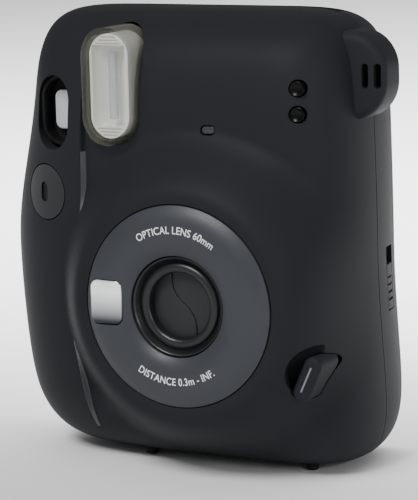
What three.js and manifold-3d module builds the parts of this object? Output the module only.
// Instant camera for mini-format film: a rounded plastic body with a hand grip, a lens that
// slides out, a flash, a viewfinder, a film chamber behind a hinged door, and a roller drive.
// Millimetres. X runs to the viewer's right seen from the front, the front faces -Y, +Z is up.
import * as THREE from "three";
import { mergeVertices } from "three/addons/utils/BufferGeometryUtils.js";
import Module from "manifold-3d";

const wasm = await Module();
wasm.setup();

const FAR = 200;
const TURN = Math.PI * 2;

// Driving dimensions: body envelope. Heights are measured from a datum plane just below the
// body, and the feet reach down to foot_bottom above that plane.
const body_top = 122.4;
const body_bottom = 1.2;
const waist_z = 58.5;
const seam_y = 8;
const front_depth = 26.3;
const rear_depth = 25.65;
const grip_side = { waist: 53.9, top: 46.4, bottom: 50.2, reach: 0.75 };
const plain_side = { waist: 52.0, top: 51.2, bottom: 54.7, reach: 1 };
const corner_power = { grip_top: 7.6, grip_bottom: 5.4, plain_top: 9, plain_bottom: 8.6 };
const front_edge_power = { grip: 2.5, plain: 9 };
const back_edge_power = 11;
const wall = 2.2;
const gap = 0.3;

// Lens group, measured from the lens axis and along Y.
const lens_x = 13.2;
const lens_z = 48.5;
const dome_y = -31.4;
const dome_flat_radius = 28;
const dome_foot_radius = 45;
const ring_radius = 26.3;
const ring_crest_y = -33.65;
const ring_edge_y = -31.5;
const ring_back_y = -30.2;
const barrel_radius = 13;
const barrel_wall = 0.6;
const barrel_back_y = -8.5;
const sleeve_gap = 0.25;
const sleeve_wall = 0.6;
const ridge_radius = 10.7;
const cover_radius = 8.7;
const blade_y = -27.6;
const blade_thickness = 0.7;
const blade_gap = 0.24;
const blade_radius = cover_radius + 0.5;
const blade_pivot_radius = 10.1;
const blade_ear = 1.1;
const guide_wall = 1.5;
const front_element_radius = 5.5;
const rear_element_radius = 5;
const plate_hole_radius = 3.2;
const blade_post = { x: lens_x - 7.5, z: lens_z + 3 };

// Film chamber, rollers and gears.
const film_width = 54;
const pack_width = 62.4;
const pack_height = 91.6;
const chamber_wall = 1;
const chamber_bottom = 11.6;
const film_plane_y = 7;
const chamber_back_y = 23.4;
const image_width = 46;
const image_height = 62;
const roller_nip = 0.3;
const roller_z = 108.8;
const roller_overhang = 0.8;
const axle_radius = 1.2;
const gear_module = 0.5;
const gear_width = 1.8;
const film_slot_depth = 5.85;
const side_plate = 1.2;
const side_play = 0.5;
const claw = { y: film_plane_y + 3.4, bottom: 16, length: 46, travel: 9 };
const teeth = { pinion: 14, wheel: 28, small: 14, idler: 18, roller: 14 };
const motor = { y: -4.8, z: 107.1, radius: 6.7, length: 22, shaft: 0.9 };
const capacitor = { y: -1.2, z: 91.2, radius: 6.3, left: -1.8, right: 32.2 };

// Controls and windows.
const flash = { x: -11.5, z: 103.3, width: 15, height: 31, front_y: -21.6, wall: 1.1 };
const finder = { x: -31.9, z: 95.2, width: 12.4, height: 19, front_y: -9.6 };
const eyepiece = { x: finder.x - 1.9, z: finder.z, width: 9.6, height: 13 };
const counter = { x: finder.x - 2.1, z: 79.6, radius: 6, depth: 5.25, window: 4, window_lift: 3.6 };
const pack_window = { x: lens_x + 6, z: 60, width: 7, height: 32 };
const shutter = { x: -34.7, z: 73.8, radius: 7.35 };
const button_wall = 1.6;
const shutter_spring = { radius: 2.6, wire: 0.3, front_y: -11.2, length: 5.6 };
const power = { x: 45.9, z: 30.4, length: 12.5, width: 5, lean: 0.43, front_y: -24.4, depth: 11 };
const power_dish = { radius: 7.4, floor_y: -19.2, wall: 1.2 };
const power_spring = { radius: 1.7, wire: 0.25, length: 3.2 };
const sensor = { x: 41.1, upper_z: 103.7, lower_z: 97.1, radius: 1.95 };
const status = { x: 16.4, z: 92.5, width: 3.7, height: 2 };
const grip_height = 2.1;
const mirror = { x: -6.7, z: 48.8, width: 9, height: 11.4 };
const lug = { x: 48.95, z: 105.6, radius: 9.95, height: 23.2, front_y: -2 };
const lug_slot = { spread: 3.4, width: 1.8, height: 6.4, z: lug.z + 0.15, depth: 5 };
const lug_post_x = lug.x + 6.25;
const strap_post_radius = 0.8;
const strap_post_z = [lug_slot.z - lug_slot.height / 2 - 2, lug_slot.z + lug_slot.height / 2 + 2];

// Power, door and feet.
const cell_radius = 7.25;
const cell_length = 50.5;
const cell_x = -36.3;
const cell_spacing = 0.4;
const front_cell_y = 4.2;
const cell_bottom = 20;
const hinge_x = -23.2;
const knuckle_radius = 2.45;
const hinge_pin_radius = 0.8;
const hinge_bottom = 18;
const hinge_top = 104;
const knuckle_count = 5;
const door_bottom = 6;
const door_top = 117;
const door_split_y = 21.5;
const latch = { y: 16.5, width: 4.4, bottom: 42, height: 12, travel: 4.5 };
const foot_radius = 1.7;
const foot_spacing_x = 48.5;
const foot_centre_x = 12;
const front_foot_y = -0.9;
const rear_foot_y = 19;
const foot_bottom = 0.6;

// Worked out from the values above.
const back_y = seam_y + rear_depth;
const guide_radius = barrel_radius + gap + guide_wall;
const barrel_front_y = ring_edge_y + 2;
const sleeve_radius = barrel_radius - barrel_wall - sleeve_gap;
const sleeve_inner = sleeve_radius - sleeve_wall;
const hinge_y = back_y - knuckle_radius;
const counter_y = back_y - counter.depth;
const hinge_barrel_z = [hinge_bottom - 5.5, hinge_top + 5.5];
const film_slot_x = [lens_x - film_width / 2 - 1.6, lens_x + film_width / 2 + 1.6];
const front_roller_y = film_plane_y - 0.3;
const rear_roller_y = front_roller_y + teeth.roller * gear_module;
const film_slot_y = [seam_y, seam_y + film_slot_depth];
const chamber_x = [lens_x - pack_width / 2, lens_x + pack_width / 2];
const chamber_z = [chamber_bottom, chamber_bottom + pack_height];
const rear_cell_y = front_cell_y + 2 * cell_radius + cell_spacing;
const cell_top = cell_bottom + cell_length;
const battery_bay_y = [front_cell_y - cell_radius + 2, rear_cell_y + cell_radius - 3];
const battery_bay_z = [cell_bottom + 1, cell_top - 1];
const roller_x = [
  lens_x - film_width / 2 - roller_overhang,
  lens_x + film_width / 2 + roller_overhang,
];
const right_plate_x = [roller_x[1] + side_play, roller_x[1] + side_play + side_plate];
const left_plate_x = [roller_x[0] - side_play - side_plate, roller_x[0] - side_play];
const drive_x = [right_plate_x[1] + side_play, right_plate_x[1] + side_play + gear_width];
const wheel_x = [right_plate_x[0] - 1 - gear_width, right_plate_x[0] - 1];
const motor_x = [wheel_x[0] - 2.4 - motor.length, wheel_x[0] - 2.4];

// ---------------------------------------------------------------- solids

function smooth(u) {
  const c = Math.min(1, Math.max(0, u));
  return c * c * (3 - 2 * c);
}

// A closed three.js geometry as a solid that can be cut and joined.
function solid(geometry) {
  const bare = new THREE.BufferGeometry();
  bare.setAttribute("position", geometry.getAttribute("position"));
  bare.setIndex(geometry.index);
  const merged = mergeVertices(bare, 1e-4);
  const corners = [];
  for (let i = 0; i < merged.index.count; i += 3) {
    const [a, b, c] = [0, 1, 2].map((k) => merged.index.getX(i + k));
    if (a !== b && b !== c && c !== a) corners.push(a, b, c);
  }
  return new wasm.Manifold(
    new wasm.Mesh({
      numProp: 3,
      vertProperties: merged.attributes.position.array,
      triVerts: Uint32Array.from(corners),
    }),
  );
}

function block(x, y, z) {
  const box = new THREE.BoxGeometry(x[1] - x[0], y[1] - y[0], z[1] - z[0]);
  return solid(box.translate((x[0] + x[1]) / 2, (y[0] + y[1]) / 2, (z[0] + z[1]) / 2));
}

function rodX(radius, x, y, z, sides = 20) {
  const rod = new THREE.CylinderGeometry(radius, radius, x[1] - x[0], sides);
  return solid(rod.rotateZ(Math.PI / 2).translate((x[0] + x[1]) / 2, y, z));
}

function rodY(radius, x, y, z, sides = 20) {
  const rod = new THREE.CylinderGeometry(radius, radius, y[1] - y[0], sides);
  return solid(rod.translate(x, (y[0] + y[1]) / 2, z));
}

function rodZ(radius, x, y, z, sides = 20) {
  const rod = new THREE.CylinderGeometry(radius, radius, z[1] - z[0], sides);
  return solid(rod.rotateX(Math.PI / 2).translate(x, y, (z[0] + z[1]) / 2));
}

// An outline in the XZ plane carried through y[0]..y[1].
function plateY(outline, y, curveSegments = 5) {
  const plate = new THREE.ExtrudeGeometry(outline, {
    depth: y[1] - y[0],
    bevelEnabled: false,
    curveSegments,
  });
  return solid(plate.rotateX(Math.PI / 2).translate(0, y[1], 0));
}

// An outline in the YZ plane carried through x[0]..x[1].
function plateX(outline, x, curveSegments = 5) {
  const plate = new THREE.ExtrudeGeometry(outline, {
    depth: x[1] - x[0],
    bevelEnabled: false,
    curveSegments,
  });
  const turn = new THREE.Matrix4().makeBasis(
    new THREE.Vector3(0, 1, 0),
    new THREE.Vector3(0, 0, 1),
    new THREE.Vector3(1, 0, 0),
  );
  return solid(plate.applyMatrix4(turn).translate(x[0], 0, 0));
}

// A profile of [radius, y] corners turned about an axis along Y through x, z.
function turned(profile, x, z, sides = 28) {
  const area = profile.reduce((sum, [r, y], i) => {
    const [next_r, next_y] = profile[(i + 1) % profile.length];
    return sum + r * next_y - next_r * y;
  }, 0);
  const ordered = area > 0 ? profile : [...profile].reverse();
  const points = [...ordered, ordered[0]].map(([r, y]) => new THREE.Vector2(r, y));
  return solid(new THREE.LatheGeometry(points, sides).translate(x, 0, z));
}

function tubeY(outer, inner, x, y, z, sides = 24) {
  return rodY(outer, x, y, z, sides).subtract(
    rodY(inner, x, [y[0] - 1, y[1] + 1], z, sides),
  );
}

// A rounded rectangle about x, z; the radius is cut down to half the shorter side.
function roundedOutline(x, z, width, height, radius) {
  const r = Math.min(radius, width / 2 - 0.01, height / 2 - 0.01);
  const w = width / 2 - r;
  const h = height / 2 - r;
  const outline = new THREE.Shape();
  outline.absarc(x + w, z + h, r, 0, TURN / 4);
  outline.absarc(x - w, z + h, r, TURN / 4, TURN / 2);
  outline.absarc(x - w, z - h, r, TURN / 2, (3 * TURN) / 4);
  outline.absarc(x + w, z - h, r, (3 * TURN) / 4, TURN);
  return outline;
}

function pill(x, z, width, height) {
  return roundedOutline(x, z, width, height, Math.min(width, height) / 2);
}

function coilY(radius, wire, x, y, z, turns) {
  const points = [];
  const steps = turns * 8;
  for (let i = 0; i <= steps; i++) {
    const angle = (i / 8) * TURN;
    const along = y[0] + wire + ((y[1] - y[0] - 2 * wire) * i) / steps;
    points.push(
      new THREE.Vector3(x + radius * Math.cos(angle), along, z + radius * Math.sin(angle)),
    );
  }
  const section = new THREE.Shape();
  section.absarc(0, 0, wire, 0, TURN);
  const coil = new THREE.ExtrudeGeometry(section, {
    steps,
    curveSegments: 4,
    extrudePath: new THREE.CatmullRomCurve3(points),
  });
  return solid(coil);
}

// ---------------------------------------------------------------- body skin

function halfWidth(side, level) {
  const end = level > 0 ? side.top : side.bottom;
  const reach = level > 0 ? side.reach : 1;
  return side.waist + (end - side.waist) * smooth(Math.abs(level) / reach);
}

// Moves a point of the unit sphere, poles on Y, out to the body's skin less an inset.
function skinPoint(point, inset, raised) {
  const reach = Math.min(1, Math.hypot(point.x, point.z));
  if (reach < 1e-9) point.setX(0);
  const across = reach < 1e-9 ? 1 : Math.abs(point.x) / reach;
  const up = reach < 1e-9 ? 0 : Math.abs(point.z) / reach;
  const grip = point.x < 0;
  const high = point.z > 0;
  const side_powers = grip ? ["grip_top", "grip_bottom"] : ["plain_top", "plain_bottom"];
  const power_here = corner_power[side_powers[high ? 0 : 1]];
  const stretch = (across ** power_here + up ** power_here) ** (-1 / power_here);
  const level = point.z * stretch;
  const half_height = high ? body_top - waist_z : waist_z - body_bottom;
  const x = point.x * stretch * (halfWidth(grip ? grip_side : plain_side, level) - inset);
  const z = waist_z + level * (half_height - inset);

  const toward_grip = smooth((0.3 - (grip ? -across : across)) / 1.3);
  const edge = THREE.MathUtils.lerp(front_edge_power.plain, front_edge_power.grip, toward_grip);
  if (point.y > 0) {
    const fall = Math.sqrt(Math.max(0, 1 - reach ** back_edge_power));
    return point.set(x, seam_y + (rear_depth - inset) * fall, z);
  }
  const fade = smooth((body_top - 6 - z) / 14) * smooth((z - body_bottom - 4) / 14);
  const depth = front_depth - inset + (raised ? grip_height * fade : 0);
  const base = seam_y - depth * Math.sqrt(Math.max(0, 1 - reach ** edge));
  if (raised) return point.set(x, base, z);
  const from_lens = Math.hypot(x - lens_x, z - lens_z);
  const slope = (from_lens - dome_flat_radius + inset) / (dome_foot_radius - dome_flat_radius);
  const weight = (1 - smooth(slope)) * (1 - reach ** 14);
  const dome = dome_y + inset;
  return point.set(x, base + Math.min(0, dome - base) * weight, z);
}

function skin(inset, raised, around, rings) {
  const ball = new THREE.SphereGeometry(1, around, rings);
  const position = ball.getAttribute("position");
  const point = new THREE.Vector3();
  for (let i = 0; i < position.count; i++) {
    skinPoint(point.fromBufferAttribute(position, i), inset, raised);
    position.setXYZ(i, point.x, point.y, point.z);
  }
  return solid(ball);
}

// The hand grip stands proud of the front up to a curved edge beside the dome.
function gripZone() {
  const edge = [
    [-21.2, body_top],
    [-21, 80],
    [-23.4, 64],
    [-27.4, 54],
    [-27.4, 43],
    [-25, 29],
    [-23.4, 18],
    [-23, body_bottom],
  ].map(([x, z]) => new THREE.Vector2(x, z));
  const outline = new THREE.Shape();
  outline.moveTo(edge[0].x, edge[0].y);
  outline.splineThru(edge.slice(1));
  outline.lineTo(-2 * grip_side.waist, body_bottom);
  outline.lineTo(-2 * grip_side.waist, body_top);
  outline.closePath();
  return plateY(outline, [-60, 0], 3);
}

const outer_skin = skin(0, false, 40, 20).add(
  skin(0, true, 32, 14).intersect(gripZone()),
);
const inner_skin = skin(wall, false, 40, 18);
const body_shell = outer_skin.subtract(inner_skin);

// Space that the side battery door fills, grown by a clearance.
function batteryDoorZone(clearance) {
  return block(
    [-FAR, cell_x - 6],
    [battery_bay_y[0] - clearance, battery_bay_y[1] + clearance],
    [battery_bay_z[0] - clearance, battery_bay_z[1] + clearance],
  );
}

// Two slots in the lug's front, joined behind the strap post.
function strapTunnel() {
  const slots = [-1, 1].map((side) => {
    const x = lug_post_x + (side * lug_slot.spread) / 2;
    const mouth = pill(x, lug_slot.z, lug_slot.width, lug_slot.height);
    return plateY(mouth, [lug.front_y - 3, lug.front_y + lug_slot.depth]);
  });
  const width = lug_slot.spread + lug_slot.width;
  const behind = plateY(
    roundedOutline(lug_post_x, lug_slot.z, width, lug_slot.height, 1),
    [lug.front_y + 3, lug.front_y + lug_slot.depth],
  );
  return slots[0].add(slots[1]).add(behind);
}

function footHoles() {
  return footPlaces().map(([, x, y]) =>
    rodZ(foot_radius + gap, x, y, [-1, body_bottom + 9], 12),
  );
}

function footPlaces() {
  const places = [];
  for (const [depth, y] of [["front", front_foot_y], ["rear", rear_foot_y]]) {
    for (const [side, sign] of [["left", -1], ["right", 1]]) {
      places.push([depth + "_" + side + "_foot", foot_centre_x + (sign * foot_spacing_x) / 2, y]);
    }
  }
  return places;
}

// A window's hole: its outline grown by the gap, cut through the front wall.
function pillHole(part) {
  const outline = pill(part.x, part.z, part.width + 2 * gap, part.height + 2 * gap);
  return plateY(outline, [-FAR, 0]);
}

function frontShell() {
  const lug_outline = pill(lug.x, lug.z, 2 * lug.radius, lug.height);
  const lug_block = plateY(lug_outline, [lug.front_y, seam_y], 8)
    .subtract(inner_skin)
    .subtract(strapTunnel());
  const dish_back = power_dish.floor_y + power_dish.wall;
  const dish_x = power.x - 0.2;
  const dish_cup = rodY(power_dish.radius + power_dish.wall, dish_x, [-FAR, dish_back], power.z, 24);
  const halves = body_shell.add(lug_block).add(dish_cup.intersect(outer_skin));
  const front = halves.intersect(block([-FAR, FAR], [-FAR, seam_y - gap / 2], [-FAR, FAR]));
  const cuts = [
    rodY(ring_radius + gap, lens_x, [-FAR, ring_back_y + gap], lens_z, 32),
    rodY(guide_radius + gap, lens_x, [-FAR, 0], lens_z, 24),
    pillHole(flash),
    pillHole(finder),
    pillHole(status),
    rodY(shutter.radius + gap, shutter.x, [-FAR, 0], shutter.z, 32),
    powerPill(gap, [-FAR, 0]),
    rodY(power_dish.radius, dish_x, [-FAR, power_dish.floor_y], power.z, 24),
    rodY(sensor.radius + gap, sensor.x, [-FAR, 0], sensor.upper_z, 16),
    rodY(sensor.radius + gap, sensor.x, [-FAR, 0], sensor.lower_z, 16),
    rodZ(strap_post_radius + gap, lug_post_x, lug.front_y + 2, strap_post_z, 12),
    batteryDoorZone(gap),
    ...footHoles(),
  ];
  return cuts.reduce((shell, cut) => shell.subtract(cut), front);
}

// Space of the film door's panel: the whole back on the plain side of the hinge.
function doorZone(clearance) {
  return block(
    [hinge_x + gap - clearance, FAR],
    [door_split_y - clearance, FAR],
    [door_bottom - clearance, door_top + clearance],
  );
}

// Room in the shell for the door's round edge and for the panel beside it as it swings.
function swingRoom() {
  const z = [hinge_barrel_z[0] - 2.5, hinge_barrel_z[1] + 2.5];
  const reach = knuckle_radius + gap;
  return rodZ(reach, hinge_x, hinge_y, z, 24).add(
    block([hinge_x - reach, hinge_x + gap], [hinge_y, FAR], z),
  );
}

function rearShell() {
  const rear = body_shell.intersect(block([-FAR, FAR], [seam_y + gap / 2, FAR], [-FAR, FAR]));
  const latch_z = [latch.bottom - gap, latch.bottom + latch.height + latch.travel + gap];
  const eyepiece_hole = roundedOutline(
    eyepiece.x,
    eyepiece.z,
    eyepiece.width + 2 * gap,
    eyepiece.height + 2 * gap,
    3,
  );
  const counter_z = counter.z + counter.window_lift;
  const cuts = [
    doorZone(gap),
    swingRoom(),
    block(film_slot_x, film_slot_y, [waist_z, FAR]),
    plateY(eyepiece_hole, [seam_y, FAR]),
    rodY(counter.window / 2 + gap, counter.x, [counter_y, FAR], counter_z, 16),
    block([20, FAR], [latch.y - latch.width / 2 - gap, latch.y + latch.width / 2 + gap], latch_z),
    batteryDoorZone(gap),
    ...footHoles(),
  ];
  const shell = cuts.reduce((part, cut) => part.subtract(cut), rear);
  return shellKnuckleSpans().reduce((part, z) => part.add(shellKnuckle(z)), shell);
}

function pinBore() {
  return rodZ(hinge_pin_radius + 0.15, hinge_x, hinge_y, [0, FAR], 12);
}

// The hinge barrel is five lengths: the second and fourth are the shell's, the rest the door's.
function shellKnuckleSpans() {
  const length = (hinge_top - hinge_bottom) / knuckle_count;
  const spans = [];
  for (let i = 1; i < knuckle_count; i += 2) {
    spans.push([
      hinge_bottom + i * length + gap / 2,
      hinge_bottom + (i + 1) * length - gap / 2,
    ]);
  }
  return spans;
}

function shellKnuckle(z) {
  const web_x = [hinge_x - knuckle_radius - 1.6, hinge_x];
  return rodZ(knuckle_radius, hinge_x, hinge_y, z, 24)
    .add(block(web_x, [hinge_y - 0.9, hinge_y + 0.9], z))
    .intersect(outer_skin)
    .subtract(pinBore());
}

function backDoor() {
  const window = roundedOutline(
    pack_window.x,
    pack_window.z,
    pack_window.width + 2 * gap,
    pack_window.height + 2 * gap,
    2.5,
  );
  const barrel = rodZ(knuckle_radius, hinge_x, hinge_y, hinge_barrel_z, 24);
  const knuckle_rooms = shellKnuckleSpans().map((z) =>
    rodZ(knuckle_radius + gap, hinge_x, hinge_y, [z[0] - gap, z[1] + gap], 24),
  );
  const panel = body_shell.intersect(doorZone(0)).add(barrel.intersect(outer_skin));
  const cuts = [...knuckle_rooms, pinBore(), plateY(window, [seam_y, FAR])];
  return cuts.reduce((door, cut) => door.subtract(cut), panel);
}

function hingePin() {
  return rodZ(hinge_pin_radius, hinge_x, hinge_y, [hinge_bottom + gap, hinge_top - gap], 12);
}

// A slider in the plain side wall whose hook holds the door shut.
function doorLatch() {
  const y = [latch.y - latch.width / 2, latch.y + latch.width / 2];
  const z = [latch.bottom, latch.bottom + latch.height];
  const inside = skin(wall - 0.2, false, 40, 18);
  const thumb = outer_skin.intersect(block([40, FAR], y, z)).subtract(inside);
  const reach = halfWidth(plain_side, 0) - wall;
  const carrier = block([reach - 3.2, reach + 1], y, z);
  return thumb.add(carrier.intersect(outer_skin));
}

function packWindow() {
  const outline = roundedOutline(
    pack_window.x,
    pack_window.z,
    pack_window.width,
    pack_window.height,
    2.2,
  );
  return plateY(outline, [back_y - wall, back_y - 0.4]);
}

// Two leaf springs on a plate press the film pack forward when the door is shut.
function pressureSpring() {
  const back = back_y - wall - gap;
  const x = [lens_x - 24, lens_x - 6];
  const plate = block(x, [back - 0.6, back], [30, 88]);
  const bows = [40, 66].map((z) => {
    const bow = new THREE.Shape();
    bow.moveTo(back - 0.4, z - 8);
    bow.quadraticCurveTo(back - 4.6, z, back - 0.4, z + 8);
    bow.lineTo(back - 0.9, z + 8);
    bow.quadraticCurveTo(back - 5.4, z, back - 0.9, z - 8);
    bow.closePath();
    return plateX(bow, [x[0] + 4, x[1] - 4], 6);
  });
  return plate.add(bows[0]).add(bows[1]);
}

// ---------------------------------------------------------------- finder and flash

function finderTube() {
  const mouth = pill(finder.x, finder.z, finder.width, finder.height);
  const outer = plateY(mouth, [finder.front_y, -4]);
  const inner = plateY(
    pill(finder.x, finder.z, finder.width - 1.6, finder.height - 1.6),
    [finder.front_y - 1, -5],
  );
  const neck = plateY(
    roundedOutline(eyepiece.x, eyepiece.z, eyepiece.width - 0.4, eyepiece.height - 0.4, 3),
    [-4.4, back_y - 5],
  );
  const bore = plateY(
    roundedOutline(eyepiece.x, eyepiece.z, eyepiece.width - 2.8, eyepiece.height - 2.8, 2),
    [-8, FAR],
  );
  return outer.subtract(inner).add(neck).subtract(bore);
}

function finderFrontLens() {
  const lens = roundedOutline(finder.x + 0.6, finder.z, finder.width - 4.6, finder.height - 8.6, 2);
  return plateY(lens, [-7.4, -5.3], 4);
}

function eyepieceFrame() {
  const frame = plateY(
    roundedOutline(eyepiece.x, eyepiece.z, eyepiece.width, eyepiece.height, 3),
    [back_y - 4.6, back_y - 0.2],
  );
  return frame.subtract(
    plateY(
      roundedOutline(eyepiece.x, eyepiece.z, eyepiece.width - 2.8, eyepiece.height - 2.8, 2),
      [0, FAR],
    ),
  );
}

function eyepieceLens() {
  const width = eyepiece.width - 3.4;
  const lens = roundedOutline(eyepiece.x, eyepiece.z, width, eyepiece.height - 3.4, 1.6);
  return plateY(lens, [back_y - 4, back_y - 1.6], 4);
}

function flashWindow() {
  const outer = plateY(pill(flash.x, flash.z, flash.width, flash.height), [flash.front_y, -9]);
  const hollow = plateY(
    pill(flash.x, flash.z, flash.width - 2 * flash.wall, flash.height - 2 * flash.wall),
    [flash.front_y + flash.wall, -8],
  );
  return outer.subtract(hollow);
}

// A bright trough with a parabolic back, closed at both ends.
function flashReflector() {
  const margin = flash.wall + gap + 0.4;
  const tray = plateY(
    pill(flash.x, flash.z, flash.width - 2 * margin, flash.height - 2 * margin),
    [flash.front_y + flash.wall + 0.8, -9.4],
  );
  const trough_radius = flash.width / 2 - margin - 0.8;
  const trough = rodZ(
    trough_radius,
    flash.x,
    flash.front_y + flash.wall + 1,
    [flash.z - flash.height / 2 + margin + 3, flash.z + flash.height / 2 - margin - 3],
    20,
  );
  return tray.subtract(trough);
}

function flashTube() {
  const reach = flash.height / 2 - flash.wall - 5.6;
  const y = flash.front_y + flash.wall + 3.2;
  return rodZ(1.2, flash.x, y, [flash.z - reach, flash.z + reach], 12);
}

// ---------------------------------------------------------------- buttons and windows

function powerPill(grow, y) {
  const outline = pill(0, 0, power.width + 2 * grow, power.length + 2 * grow);
  return plateY(outline, y).rotate([0, THREE.MathUtils.radToDeg(power.lean), 0])
    .translate([power.x, 0, power.z]);
}

function shutterButton() {
  return outer_skin
    .intersect(rodY(shutter.radius, shutter.x, [-FAR, 0], shutter.z, 32))
    .subtract(skin(button_wall, true, 24, 12))
    .subtract(lightPipeZone(gap));
}

function lightPipeZone(grow) {
  return plateY(pill(shutter.x - 0.6, shutter.z, 1.9 + 2 * grow, 4.6 + 2 * grow), [-FAR, 0]);
}

function lightPipe() {
  return outer_skin.intersect(lightPipeZone(0)).subtract(skin(button_wall + 0.1, true, 24, 12));
}

function powerButton() {
  return powerPill(0, [power.front_y, power.front_y + power.depth]);
}

function shutterSpring() {
  const y = [shutter_spring.front_y, shutter_spring.front_y + shutter_spring.length];
  return coilY(shutter_spring.radius, shutter_spring.wire, shutter.x, y, shutter.z, 3);
}

function powerSpring() {
  const front = power.front_y + power.depth + gap;
  const y = [front, front + power_spring.length];
  return coilY(power_spring.radius, power_spring.wire, power.x, y, power.z, 3);
}

function sensorWindow(z) {
  return rodY(sensor.radius, sensor.x, [-16.6, -13.8], z, 16);
}

function statusWindow() {
  return plateY(pill(status.x, status.z, status.width, status.height), [-18, -15.6], 6);
}

// A numbered disc behind a small window that shows how many sheets are left.
function counterDisc() {
  return rodY(counter.radius, counter.x, [counter_y, counter_y + 0.8], counter.z, 24);
}

function counterWindow() {
  const y = [back_y - wall, back_y - 0.6];
  return rodY(counter.window / 2, counter.x, y, counter.z + counter.window_lift, 16);
}

function strapPost() {
  const z = [strap_post_z[0] + gap, strap_post_z[1] - gap];
  return rodZ(strap_post_radius, lug_post_x, lug.front_y + 2, z, 12);
}

function selfieMirror() {
  const outline = roundedOutline(mirror.x, mirror.z, mirror.width, mirror.height, 2);
  return plateY(outline, [ring_crest_y + 0.35, ring_crest_y + 1.3], 4);
}

function lensRing() {
  const inner = barrel_radius + gap;
  const middle = (inner + ring_radius) / 2;
  const profile = [
    [inner, ring_back_y],
    [inner, ring_edge_y - 0.4],
    [inner + 0.6, ring_edge_y - 1.3],
    [inner + 2.2, ring_edge_y - 1.9],
    [middle - 1.5, ring_crest_y],
    [middle + 2, ring_crest_y + 0.25],
    [ring_radius - 2.2, ring_edge_y - 1],
    [ring_radius, ring_edge_y],
    [ring_radius, ring_back_y],
  ];
  const pocket = plateY(
    roundedOutline(mirror.x, mirror.z, mirror.width + 2 * gap, mirror.height + 2 * gap, 2.2),
    [-FAR, ring_crest_y + 1.3 + gap],
    4,
  );
  return turned(profile, lens_x, lens_z, 32).subtract(pocket);
}

// ---------------------------------------------------------------- lens group

function barrelGuide() {
  const y = [ring_back_y + gap, barrel_back_y + 1];
  return tubeY(guide_radius, barrel_radius + gap, lens_x, y, lens_z);
}

function lensBarrel() {
  const y = [barrel_front_y, barrel_back_y];
  const tube = tubeY(barrel_radius, barrel_radius - barrel_wall, lens_x, y, lens_z);
  const partition_y = barrel_back_y - 8;
  const partition = tubeY(
    barrel_radius - 0.1,
    rear_element_radius + gap,
    lens_x,
    [partition_y - 1, partition_y],
    lens_z,
  );
  return tube.add(partition);
}

// The front of the lens: a rim, a bowl down to a raised ring, and a sleeve behind.
function lensFront() {
  const flange_back = barrel_front_y - gap;
  const lip_y = blade_y - gap;
  const profile = [
    [sleeve_radius, flange_back],
    [barrel_radius, flange_back],
    [barrel_radius, ring_edge_y - 0.2],
    [barrel_radius - 0.5, ring_edge_y - 0.4],
    [ridge_radius + 0.6, ring_edge_y + 1.7],
    [ridge_radius + 0.1, ring_edge_y + 1.9],
    [ridge_radius - 0.3, ring_edge_y + 1.1],
    [ridge_radius - 1, ring_edge_y + 0.8],
    [cover_radius + 0.3, ring_edge_y + 1.3],
    [cover_radius, ring_edge_y + 2.2],
    [cover_radius, lip_y],
    [sleeve_inner, lip_y],
    [sleeve_inner, blade_y + 3.2],
    [front_element_radius + gap, blade_y + 3.2],
    [front_element_radius + gap, blade_y + 4.4],
    [sleeve_inner, blade_y + 4.4],
    [sleeve_inner, blade_y + 7.4],
    [sleeve_radius, blade_y + 7.4],
  ];
  return turned(profile, lens_x, lens_z, 24);
}

// Half of the round lens cover. The halves meet in an S, alike when turned half round, and each
// turns about an ear at the rim.
function coverBlade(side) {
  const y = [blade_y, blade_y + blade_thickness];
  const half_seam = [
    [-3.6, blade_radius],
    [-3.3, 4.9],
    [-2.2, 2.4],
  ];
  const other_half = [...half_seam].reverse().map(([x, z]) => [-x, -z]);
  const seam = [...half_seam, [0, 0], ...other_half].map(
    ([x, z]) => new THREE.Vector2(x + (side * blade_gap) / 2, z),
  );
  const far = side * 3 * blade_radius;
  const outline = new THREE.Shape();
  outline.moveTo(seam[0].x, seam[0].y);
  outline.splineThru(seam.slice(1));
  outline.lineTo(far, -blade_radius);
  outline.lineTo(far, blade_radius);
  outline.closePath();
  const pivot = (blade_pivot_radius * side) / Math.SQRT2;
  const arm_x = [Math.min(pivot, side * 4), Math.max(pivot, side * 4)];
  const arm = block(arm_x, y, [-pivot - 1, -pivot + 1]);
  const ear = rodY(blade_ear, pivot, y, -pivot, 12).add(
    arm.intersect(rodY(blade_radius + 0.6, 0, y, 0, 28)),
  );
  return plateY(outline, y, 2)
    .intersect(rodY(blade_radius, 0, y, 0, 28))
    .add(ear)
    .translate([lens_x, 0, lens_z]);
}

// A lens with both faces bowed, turned from half its section.
function element(radius, y, bow) {
  const front = [];
  const back = [];
  const steps = 2;
  for (let i = 0; i <= steps; i++) {
    const r = (radius * i) / steps;
    const lift = bow * (1 - (r / radius) ** 2);
    front.push([r, y[0] + bow - lift]);
    back.unshift([r, y[1] - bow + lift]);
  }
  return turned([...front, ...back], lens_x, lens_z, 16);
}

function frontElement() {
  return element(front_element_radius, [blade_y + 1.2, blade_y + 5], 0.7);
}

function rearElement() {
  return element(rear_element_radius, [barrel_back_y - 10, barrel_back_y - 6.6], 0.5);
}

function shutterPlate() {
  const y = [barrel_back_y - 6, barrel_back_y - 5];
  const plate = rodY(barrel_radius - barrel_wall - gap, lens_x, y, lens_z, 32);
  return plate.subtract(rodY(plate_hole_radius, lens_x, [y[0] - 1, y[1] + 1], lens_z, 20));
}

function shutterBlade() {
  const y = [barrel_back_y - 4.7, barrel_back_y - 4.2];
  const leaf = rodY(plate_hole_radius + 1, lens_x, y, lens_z, 20);
  const arm = block([blade_post.x, lens_x], y, [lens_z + 0.5, lens_z + 3.5]);
  const hub = rodY(1.7, blade_post.x, y, blade_post.z, 12);
  return leaf.add(arm).add(hub);
}

// ---------------------------------------------------------------- film path

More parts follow.
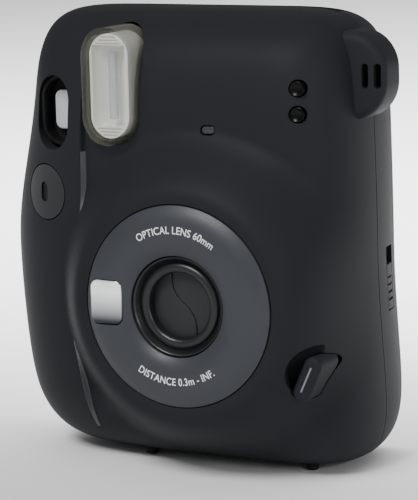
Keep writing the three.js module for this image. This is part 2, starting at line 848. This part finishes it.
// A hollow frustum that keeps stray light off the film between lens and gate.
function lightBox() {
  const y = [barrel_back_y + 1.6, film_plane_y - chamber_wall - gap];
  const frustum = (front_half, back_half_x, back_half_z, span) => {
    const cone = new THREE.BoxGeometry(2, span[1] - span[0], 2);
    const position = cone.getAttribute("position");
    for (let i = 0; i < position.count; i++) {
      const back = position.getY(i) > 0;
      position.setX(i, position.getX(i) * (back ? back_half_x : front_half));
      position.setZ(i, position.getZ(i) * (back ? back_half_z : front_half));
    }
    return solid(cone.translate(lens_x, (span[0] + span[1]) / 2, lens_z));
  };
  const outer = frustum(13, image_width / 2 + 1.2, image_height / 2 + 1.2, y);
  const bore_y = [y[0] - 0.01, y[1] + 0.01];
  const inner = frustum(11.8, image_width / 2, image_height / 2, bore_y);
  return outer.subtract(inner);
}

function filmChamber() {
  const outer = block(
    [chamber_x[0] - chamber_wall, chamber_x[1] + chamber_wall],
    [film_plane_y - chamber_wall, chamber_back_y],
    [chamber_z[0] - chamber_wall, chamber_z[1] + chamber_wall],
  );
  const hollow = block(chamber_x, [film_plane_y, FAR], chamber_z);
  const gate = block(
    [lens_x - image_width / 2, lens_x + image_width / 2],
    [0, FAR],
    [lens_z - image_height / 2, lens_z + image_height / 2],
  );
  const film_way = block(
    [film_slot_x[0], film_slot_x[1]],
    [film_plane_y, film_plane_y + 5],
    [waist_z, FAR],
  );
  const claw_way = block(
    [chamber_x[0] - 3, lens_x - pack_width / 2 + 1],
    [claw.y - 1.4, claw.y + 1.4],
    [claw.bottom - 1, claw.bottom + 4 + claw.travel],
  );
  return outer.subtract(hollow).subtract(gate).subtract(film_way).subtract(claw_way);
}

// A flat slide whose tooth pushes the exposed sheet up into the rollers.
function filmClaw() {
  const outside = chamber_x[0] - chamber_wall - gap;
  const bar = block(
    [outside - 0.9, outside],
    [claw.y - 3, claw.y + 3],
    [claw.bottom, claw.bottom + claw.length],
  );
  const tooth = block(
    [outside - 0.1, chamber_x[0] + 0.8],
    [claw.y - 0.8, claw.y + 0.8],
    [claw.bottom, claw.bottom + 2.4],
  );
  return bar.add(tooth);
}

function pitchRadius(count) {
  return (count * gear_module) / 2;
}

// The point at the given distances from two others, on the side that is lower down.
function trianglePoint(a, from_a, b, from_b) {
  const between = Math.hypot(b.y - a.y, b.z - a.z);
  const along = (from_a ** 2 - from_b ** 2 + between ** 2) / (2 * between);
  const off = Math.sqrt(Math.max(0, from_a ** 2 - along ** 2));
  const [uy, uz] = [(b.y - a.y) / between, (b.z - a.z) / between];
  const choices = [1, -1].map((s) => ({
    y: a.y + along * uy - s * off * uz,
    z: a.z + along * uz + s * off * uy,
  }));
  return choices[0].z < choices[1].z ? choices[0] : choices[1];
}

const roller_radius = (rear_roller_y - front_roller_y - roller_nip) / 2;
const front_roller_axis = { y: front_roller_y, z: roller_z };
const rear_roller_axis = { y: rear_roller_y, z: roller_z };
const idler_reach = pitchRadius(teeth.idler) + pitchRadius(teeth.roller);
const idler_axis = {
  y: front_roller_y - idler_reach * Math.cos(0.62),
  z: roller_z - idler_reach * Math.sin(0.62),
};
const motor_axis = { y: motor.y, z: motor.z };
const wheel_axis = trianglePoint(
  idler_axis,
  pitchRadius(teeth.idler) + pitchRadius(teeth.small),
  motor_axis,
  pitchRadius(teeth.pinion) + pitchRadius(teeth.wheel),
);

// Angle of one tooth of a gear that meshes with a gear whose own tooth angle is known.
function meshAngle(axis, count, from_axis, from_count, from_angle) {
  const toward = Math.atan2(axis.z - from_axis.z, axis.y - from_axis.y);
  const lead = from_angle - toward;
  return toward + Math.PI - (lead * from_count) / count + Math.PI / count;
}

const front_roller_angle = 0;
const rear_roller_angle = meshAngle(
  rear_roller_axis,
  teeth.roller,
  front_roller_axis,
  teeth.roller,
  front_roller_angle,
);
const idler_angle = meshAngle(idler_axis, teeth.idler, front_roller_axis, teeth.roller, 0);
const small_angle = meshAngle(wheel_axis, teeth.small, idler_axis, teeth.idler, idler_angle);
const pinion_angle = meshAngle(motor_axis, teeth.pinion, wheel_axis, teeth.wheel, small_angle);

// A spur gear with involute flanks and a little backlash.
function gear(count, axis, angle, x) {
  const pitch = pitchRadius(count);
  const base = pitch * Math.cos(THREE.MathUtils.degToRad(20));
  const tip = pitch + 0.8 * gear_module;
  const root = pitch - 1.15 * gear_module;
  const backlash = 0.16;
  const involute = (radius) => {
    const pressure = Math.acos(Math.min(1, base / radius));
    return Math.tan(pressure) - pressure;
  };
  const half_at = (radius) =>
    (Math.PI / 2 / count) * (1 - backlash) + involute(pitch) - involute(Math.max(radius, base));
  const outline = new THREE.Shape();
  for (let i = 0; i < count; i++) {
    const centre = angle + (i * TURN) / count;
    const flank = [root, pitch, tip].map((radius) => [radius, half_at(radius)]);
    const corners = [
      ...flank.map(([radius, half]) => [radius, centre - half]),
      ...flank.reverse().map(([radius, half]) => [radius, centre + half]),
    ];
    corners.forEach(([radius, turn], k) => {
      const y = axis.y + radius * Math.cos(turn);
      const z = axis.z + radius * Math.sin(turn);
      if (i === 0 && k === 0) outline.moveTo(y, z);
      else outline.lineTo(y, z);
    });
  }
  outline.closePath();
  return plateX(outline, x);
}

function rollerGear(axis, angle) {
  return gear(teeth.roller, axis, angle, drive_x).subtract(
    rodX(axle_radius + gap, [drive_x[0] - 1, drive_x[1] + 1], axis.y, axis.z, 12),
  );
}

function roller(axis) {
  const axle = rodX(axle_radius, [left_plate_x[0] - 0.6, drive_x[1] + 0.4], axis.y, axis.z, 12);
  return rodX(roller_radius, roller_x, axis.y, axis.z, 24).add(axle);
}

function reductionGear() {
  const wheel = gear(teeth.wheel, wheel_axis, small_angle, wheel_x);
  const small = gear(teeth.small, wheel_axis, small_angle, drive_x);
  const shaft_x = [wheel_x[0] - 0.5, drive_x[1] + 0.4];
  const shaft = rodX(axle_radius, shaft_x, wheel_axis.y, wheel_axis.z, 12);
  return wheel.add(small).add(shaft);
}

function idlerGear() {
  const shaft = rodX(
    axle_radius,
    [right_plate_x[0] - 0.5, drive_x[1] + 0.4],
    idler_axis.y,
    idler_axis.z,
    12,
  );
  return gear(teeth.idler, idler_axis, idler_angle, drive_x).add(shaft);
}

// Two end plates and a cross bar that carry the rollers and the drive.
function rollerFrame() {
  const top = roller_z + 4;
  const chamber_top = chamber_z[1] + chamber_wall + 0.5;
  const back = rear_roller_y + 4.6;
  const drive_y = [wheel_axis.y - 2.6, film_plane_y - chamber_wall - 0.5];
  const right = block(right_plate_x, drive_y, [wheel_axis.z - 4, top])
    .add(block(right_plate_x, [front_roller_y - 4, back], [chamber_top, top]));
  const left = block(left_plate_x, [front_roller_y - 5.4, back], [chamber_top, top]);
  const bar_y = [front_roller_y - 4.8, front_roller_y - 3.7];
  const bar = block([left_plate_x[0], right_plate_x[1]], bar_y, [top - 2.2, top]);
  const holes = [front_roller_axis, rear_roller_axis, idler_axis, wheel_axis].map((axis) =>
    rodX(axle_radius + gap, [-FAR, FAR], axis.y, axis.z, 12),
  );
  return holes.reduce((frame, hole) => frame.subtract(hole), right.add(left).add(bar));
}

function driveMotor() {
  const can = rodX(motor.radius, motor_x, motor.y, motor.z, 24);
  const nose = rodX(2.5, [motor_x[1], motor_x[1] + 1], motor.y, motor.z, 12);
  const shaft = rodX(motor.shaft, [motor_x[1], wheel_x[1] + 0.6], motor.y, motor.z, 10);
  return can.add(nose).add(shaft);
}

function motorPinion() {
  return gear(teeth.pinion, motor_axis, pinion_angle, wheel_x).subtract(
    rodX(motor.shaft + gap, [wheel_x[0] - 1, wheel_x[1] + 1], motor.y, motor.z, 10),
  );
}

// ---------------------------------------------------------------- electrics

function flashCapacitor() {
  return rodX(capacitor.radius, [capacitor.left, capacitor.right], capacitor.y, capacitor.z, 24);
}

function mainBoard() {
  const y = barrel_back_y - 1.8;
  const board = block([lens_x - 17, lens_x + 21], [y - 1.6, y], [79.5, 98]);
  const chips = [
    block([lens_x - 10, lens_x - 1], [y - 3, y - 1.5], [84, 93]),
    block([lens_x + 6, lens_x + 13], [y - 2.8, y - 1.5], [83, 88]),
    block([lens_x + 8, lens_x + 17], [y - 4.4, y - 1.5], [91, 95]),
  ];
  return chips.reduce((sum, chip) => sum.add(chip), board);
}

function cell(y) {
  const can = rodZ(cell_radius, cell_x, y, [cell_bottom, cell_top - 1.2], 24);
  return can.add(rodZ(2.7, cell_x, y, [cell_top - 1.5, cell_top], 12));
}

// An open-sided tray that holds the two cells in the hand grip.
function batteryCase() {
  const room = cell_radius + 0.35;
  const x = [cell_x - 2, cell_x + room + 1.2];
  const y = [front_cell_y - room - 1.2, rear_cell_y + room + 1.2];
  const z = [cell_bottom - 2.6, cell_top + 2.6];
  const tray = block(x, y, z);
  const inside_z = [z[0] + 1.2, z[1] - 1.2];
  const hollow = block([-FAR, cell_x + room], [y[0] + 1.2, y[1] - 1.2], inside_z);
  const rib_y = (front_cell_y + rear_cell_y) / 2;
  const rib = block([cell_x + 3.5, cell_x + room + 0.5], [rib_y - 0.15, rib_y + 0.15], z);
  const cell_room = [front_cell_y, rear_cell_y].map((at) =>
    rodZ(room, cell_x, at, inside_z, 24),
  );
  return tray.subtract(hollow).add(rib).subtract(cell_room[0]).subtract(cell_room[1]);
}

function contactPlate(z) {
  const room = cell_radius - 2;
  return block([cell_x - 3, cell_x + 3], [front_cell_y - room, rear_cell_y + room], z);
}

function batteryDoor() {
  return body_shell.intersect(batteryDoorZone(0));
}

// ---------------------------------------------------------------- assembly

function finish(colour, roughness, metalness = 0) {
  return new THREE.MeshStandardMaterial({ color: colour, roughness, metalness });
}

const charcoal = () => finish(0x2b2d31, 0.55);
const black = () => finish(0x141517, 0.6);
const steel = () => finish(0xb8bbc0, 0.3, 1);
const brass = () => finish(0xb99a4b, 0.35, 1);
const nylon = () => finish(0xe6e3da, 0.5);
const clear = () => finish(0xe9efe6, 0.1);
const rubber = () => finish(0x101113, 0.9);

const camera = new THREE.Group();
const lug_reach = lug.x + lug.radius;
camera.position.set(-(lug_reach - grip_side.waist) / 2, 0, -foot_bottom);

function addPiece(name, shape, material) {
  const mesh = shape.getMesh();
  const geometry = new THREE.BufferGeometry();
  geometry.setAttribute("position", new THREE.BufferAttribute(mesh.vertProperties, 3));
  geometry.setIndex(new THREE.BufferAttribute(mesh.triVerts, 1));
  geometry.computeVertexNormals();
  const piece = new THREE.Mesh(geometry, material);
  piece.name = name;
  camera.add(piece);
}

addPiece("front_shell", frontShell(), charcoal());
addPiece("rear_shell", rearShell(), charcoal());
addPiece("back_door", backDoor(), charcoal());
addPiece("door_hinge_pin", hingePin(), steel());
addPiece("door_latch", doorLatch(), charcoal());
addPiece("pack_window", packWindow(), clear());
addPiece("pressure_spring", pressureSpring(), steel());
addPiece("finder_tube", finderTube(), black());
addPiece("finder_front_lens", finderFrontLens(), clear());
addPiece("eyepiece_frame", eyepieceFrame(), black());
addPiece("eyepiece_lens", eyepieceLens(), clear());
addPiece("counter_disc", counterDisc(), nylon());
addPiece("counter_window", counterWindow(), clear());
addPiece("flash_window", flashWindow(), clear());
addPiece("flash_reflector", flashReflector(), steel());
addPiece("flash_tube", flashTube(), clear());
addPiece("flash_capacitor", flashCapacitor(), black());
addPiece("shutter_button", shutterButton(), charcoal());
addPiece("button_light_pipe", lightPipe(), black());
addPiece("shutter_spring", shutterSpring(), steel());
addPiece("power_button", powerButton(), charcoal());
addPiece("power_spring", powerSpring(), steel());
addPiece("lens_ring", lensRing(), charcoal());
addPiece("selfie_mirror", selfieMirror(), finish(0xd9dde0, 0.05, 1));
addPiece("barrel_guide", barrelGuide(), black());
addPiece("lens_barrel", lensBarrel(), black());
addPiece("lens_front", lensFront(), charcoal());
addPiece("left_cover_blade", coverBlade(-1), charcoal());
addPiece("right_cover_blade", coverBlade(1), charcoal());
addPiece("front_element", frontElement(), clear());
addPiece("rear_element", rearElement(), clear());
addPiece("shutter_plate", shutterPlate(), black());
addPiece("shutter_blade", shutterBlade(), black());
addPiece("light_box", lightBox(), black());
addPiece("film_chamber", filmChamber(), black());
addPiece("upper_sensor_window", sensorWindow(sensor.upper_z), black());
addPiece("lower_sensor_window", sensorWindow(sensor.lower_z), black());
addPiece("status_window", statusWindow(), finish(0x55585c, 0.4));
addPiece("main_board", mainBoard(), finish(0x1f4a34, 0.6));
addPiece("motor", driveMotor(), steel());
addPiece("motor_pinion", motorPinion(), brass());
addPiece("reduction_gear", reductionGear(), nylon());
addPiece("idler_gear", idlerGear(), nylon());
addPiece("front_roller", roller(front_roller_axis), steel());
addPiece("rear_roller", roller(rear_roller_axis), steel());
addPiece("front_roller_gear", rollerGear(front_roller_axis, front_roller_angle), nylon());
addPiece("rear_roller_gear", rollerGear(rear_roller_axis, rear_roller_angle), nylon());
addPiece("roller_frame", rollerFrame(), steel());
addPiece("film_claw", filmClaw(), steel());
addPiece("battery_case", batteryCase(), black());
addPiece("front_battery", cell(front_cell_y), steel());
addPiece("rear_battery", cell(rear_cell_y), steel());
addPiece("lower_contact", contactPlate([cell_bottom - 1, cell_bottom - gap]), steel());
addPiece("upper_contact", contactPlate([cell_top + gap, cell_top + 1]), steel());
addPiece("battery_door", batteryDoor(), charcoal());
addPiece("strap_post", strapPost(), steel());
for (const [name, x, y] of footPlaces()) {
  addPiece(name, rodZ(foot_radius, x, y, [foot_bottom, body_bottom + 4], 12), rubber());
}

export default camera;
